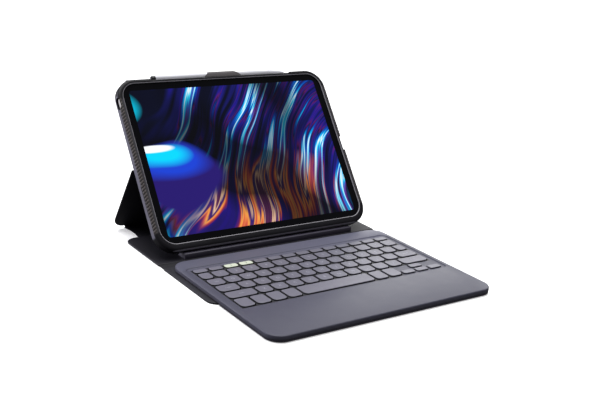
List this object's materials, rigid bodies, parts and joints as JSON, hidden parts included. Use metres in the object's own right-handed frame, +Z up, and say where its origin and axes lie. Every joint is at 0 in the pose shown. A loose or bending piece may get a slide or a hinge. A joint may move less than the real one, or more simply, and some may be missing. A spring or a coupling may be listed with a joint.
{
  "type": "tablet keyboard case",
  "caption": "Folio case for a slate tablet: bumper shell with stylus clasp, folding kickstand back, flat cover with a support ridge, and a thin detachable keyboard",
  "frame": {"origin": "on the underside of the base panel, on the middle line from left to right, below the leaning tablet", "axes": "+X to the right as the typist sees it, +Y to the back, +Z up"},
  "size_m": [0.2618, 0.3201, 0.1605],
  "materials": {
    "folio_cover": "fine-grained polyurethane, satin",
    "folio_fold": "soft folding polyurethane strip, satin",
    "panel_board": "fibreglass board, matte",
    "ridge_plastic": "moulded plastic, satin",
    "magnet": "nickel-plated",
    "bumper": "moulded elastomer, satin",
    "clasp": "soft elastomer, matte",
    "tablet_metal": "bead-blasted, anodised",
    "tablet_screen": "polished cover glass over a display",
    "camera_black": "polished",
    "stylus_white": "smooth satin",
    "stylus_dark": "gloss",
    "kb_top": "fine spark-eroded texture, matte",
    "kb_bottom": "fine texture, matte",
    "key": "smooth, matte",
    "key_pale": "smooth, matte",
    "foot_rubber": "matte",
    "battery": "foil pouch",
    "circuit": "lacquered board",
    "membrane": "printed film",
    "port_metal": "stamped",
    "switch": "smooth"
  },
  "bodies": {
    "base": {"base_panel": "folio_cover", "base_stiffener": "panel_board", "support_ridge": "ridge_plastic", "ridge_magnets": "magnet", "spine_strip": "folio_fold", "rear_fold": "folio_fold", "front_fold": "folio_fold"},
    "flap": {"flap_panel": "folio_cover", "flap_stiffener": "panel_board", "flap_magnets": "magnet"},
    "kick": {"kick_panel": "folio_cover", "kick_stiffener": "panel_board", "mid_fold": "folio_fold"},
    "case": {"back_panel": "folio_cover", "back_stiffener": "panel_board", "case_back": "bumper", "bumper_frame": "bumper", "tablet_housing": "tablet_metal", "tablet_glass": "tablet_screen", "tablet_camera": "camera_black"},
    "clasp": {"stylus_clasp": "clasp"},
    "stylus": {"stylus_barrel": "stylus_white", "stylus_cap": "stylus_dark", "stylus_tip": "stylus_white"},
    "volume_rocker": {"volume_rocker": "bumper"},
    "tablet_power_button": {"tablet_power_button": "tablet_metal"},
    "keyboard": {"kb_top_case": "kb_top", "kb_bottom_case": "kb_bottom", "kb_feet": "foot_rubber", "kb_battery": "battery", "kb_circuit_board": "circuit", "key_membrane": "membrane", "charge_port": "port_metal", "kb_magnets": "magnet"},
    "kb_power_switch": {"kb_power_switch": "switch"},
    "function_keys": {"function_keys": "key"},
    "device_key_1": {"device_key_1": "key_pale"},
    "device_key_2": {"device_key_2": "key_pale"},
    "number_keys": {"number_keys": "key"},
    "delete_key": {"delete_key": "key"},
    "tab_key": {"tab_key": "key"},
    "upper_letter_keys": {"upper_letter_keys": "key"},
    "caps_key": {"caps_key": "key"},
    "home_letter_keys": {"home_letter_keys": "key"},
    "enter_key": {"enter_key": "key"},
    "left_shift_key": {"left_shift_key": "key"},
    "lower_letter_keys": {"lower_letter_keys": "key"},
    "right_shift_key": {"right_shift_key": "key"},
    "globe_key": {"globe_key": "key"},
    "control_key": {"control_key": "key"},
    "option_key": {"option_key": "key"},
    "left_command_key": {"left_command_key": "key"},
    "space_bar": {"space_bar": "key"},
    "right_command_key": {"right_command_key": "key"},
    "right_option_key": {"right_option_key": "key"},
    "left_arrow_key": {"left_arrow_key": "key"},
    "up_arrow_key": {"up_arrow_key": "key"},
    "down_arrow_key": {"down_arrow_key": "key"},
    "right_arrow_key": {"right_arrow_key": "key"}
  },
  "joints": [
    {"name": "kick_fold", "type": "hinge", "parent": "base", "child": "kick", "pos_m": [0, 0.08238, 0.001], "axis": [1, 0, 0], "range_deg": [-118, 0]},
    {"name": "case_fold", "type": "hinge", "parent": "kick", "child": "case", "pos_m": [0, 0.03478, 0.07855], "axis": [1, 0, 0], "range_deg": [0, 67]},
    {"name": "flap_fold", "type": "hinge", "parent": "base", "child": "flap", "pos_m": [0, -0.039, 0.001], "axis": [1, 0, 0], "range_deg": [-90, 0]},
    {"name": "keyboard_slide", "type": "slide", "parent": "flap", "child": "keyboard", "axis": [0, -1, 0], "range_m": [0, 0.09]},
    {"name": "clasp_fold", "type": "hinge", "parent": "case", "child": "clasp", "pos_m": [0, 0.09121, 0.15323], "axis": [1, 0, 0], "range_deg": [-110, 0]},
    {"name": "stylus_lift", "type": "slide", "parent": "case", "child": "stylus", "axis": [0, 0.6074, 0.7944], "range_m": [0, 0.0036]},
    {"name": "volume_press", "type": "slide", "parent": "case", "child": "volume_rocker", "axis": [0, -0.6074, -0.7944], "range_m": [0, 0.0005], "stiffness_N_per_m": 3000},
    {"name": "tablet_power_press", "type": "slide", "parent": "case", "child": "tablet_power_button", "axis": [1, 0, 0], "range_m": [0, 0.0004], "stiffness_N_per_m": 3000},
    {"name": "kb_power_slide", "type": "slide", "parent": "keyboard", "child": "kb_power_switch", "axis": [0, 1, 0], "range_m": [0, 0.003]},
    {"name": "function_keys_press", "type": "slide", "parent": "keyboard", "child": "function_keys", "axis": [0, 0, -1], "range_m": [0, 0.001], "stiffness_N_per_m": 6600},
    {"name": "device_key_1_press", "type": "slide", "parent": "keyboard", "child": "device_key_1", "axis": [0, 0, -1], "range_m": [0, 0.001], "stiffness_N_per_m": 550},
    {"name": "device_key_2_press", "type": "slide", "parent": "keyboard", "child": "device_key_2", "axis": [0, 0, -1], "range_m": [0, 0.001], "stiffness_N_per_m": 550},
    {"name": "number_keys_press", "type": "slide", "parent": "keyboard", "child": "number_keys", "axis": [0, 0, -1], "range_m": [0, 0.001], "stiffness_N_per_m": 7150},
    {"name": "delete_key_press", "type": "slide", "parent": "keyboard", "child": "delete_key", "axis": [0, 0, -1], "range_m": [0, 0.001], "stiffness_N_per_m": 550},
    {"name": "tab_key_press", "type": "slide", "parent": "keyboard", "child": "tab_key", "axis": [0, 0, -1], "range_m": [0, 0.001], "stiffness_N_per_m": 550},
    {"name": "upper_letter_keys_press", "type": "slide", "parent": "keyboard", "child": "upper_letter_keys", "axis": [0, 0, -1], "range_m": [0, 0.001], "stiffness_N_per_m": 7150},
    {"name": "caps_key_press", "type": "slide", "parent": "keyboard", "child": "caps_key", "axis": [0, 0, -1], "range_m": [0, 0.001], "stiffness_N_per_m": 550},
    {"name": "home_letter_keys_press", "type": "slide", "parent": "keyboard", "child": "home_letter_keys", "axis": [0, 0, -1], "range_m": [0, 0.001], "stiffness_N_per_m": 6050},
    {"name": "enter_key_press", "type": "slide", "parent": "keyboard", "child": "enter_key", "axis": [0, 0, -1], "range_m": [0, 0.001], "stiffness_N_per_m": 550},
    {"name": "left_shift_key_press", "type": "slide", "parent": "keyboard", "child": "left_shift_key", "axis": [0, 0, -1], "range_m": [0, 0.001], "stiffness_N_per_m": 550},
    {"name": "lower_letter_keys_press", "type": "slide", "parent": "keyboard", "child": "lower_letter_keys", "axis": [0, 0, -1], "range_m": [0, 0.001], "stiffness_N_per_m": 5500},
    {"name": "right_shift_key_press", "type": "slide", "parent": "keyboard", "child": "right_shift_key", "axis": [0, 0, -1], "range_m": [0, 0.001], "stiffness_N_per_m": 550},
    {"name": "globe_key_press", "type": "slide", "parent": "keyboard", "child": "globe_key", "axis": [0, 0, -1], "range_m": [0, 0.001], "stiffness_N_per_m": 550},
    {"name": "control_key_press", "type": "slide", "parent": "keyboard", "child": "control_key", "axis": [0, 0, -1], "range_m": [0, 0.001], "stiffness_N_per_m": 550},
    {"name": "option_key_press", "type": "slide", "parent": "keyboard", "child": "option_key", "axis": [0, 0, -1], "range_m": [0, 0.001], "stiffness_N_per_m": 550},
    {"name": "left_command_key_press", "type": "slide", "parent": "keyboard", "child": "left_command_key", "axis": [0, 0, -1], "range_m": [0, 0.001], "stiffness_N_per_m": 550},
    {"name": "space_bar_press", "type": "slide", "parent": "keyboard", "child": "space_bar", "axis": [0, 0, -1], "range_m": [0, 0.001], "stiffness_N_per_m": 550},
    {"name": "right_command_key_press", "type": "slide", "parent": "keyboard", "child": "right_command_key", "axis": [0, 0, -1], "range_m": [0, 0.001], "stiffness_N_per_m": 550},
    {"name": "right_option_key_press", "type": "slide", "parent": "keyboard", "child": "right_option_key", "axis": [0, 0, -1], "range_m": [0, 0.001], "stiffness_N_per_m": 550},
    {"name": "left_arrow_key_press", "type": "slide", "parent": "keyboard", "child": "left_arrow_key", "axis": [0, 0, -1], "range_m": [0, 0.001], "stiffness_N_per_m": 550},
    {"name": "up_arrow_key_press", "type": "slide", "parent": "keyboard", "child": "up_arrow_key", "axis": [0, 0, -1], "range_m": [0, 0.001], "stiffness_N_per_m": 550},
    {"name": "down_arrow_key_press", "type": "slide", "parent": "keyboard", "child": "down_arrow_key", "axis": [0, 0, -1], "range_m": [0, 0.001], "stiffness_N_per_m": 550},
    {"name": "right_arrow_key_press", "type": "slide", "parent": "keyboard", "child": "right_arrow_key", "axis": [0, 0, -1], "range_m": [0, 0.001], "stiffness_N_per_m": 550}
  ],
  "couplings": [
    {"joint": "case_fold", "follows": "kick_fold", "ratio": -0.5653},
    {"joint": "clasp_fold", "follows": "stylus_lift", "rad_per_m": -526.32}
  ]
}
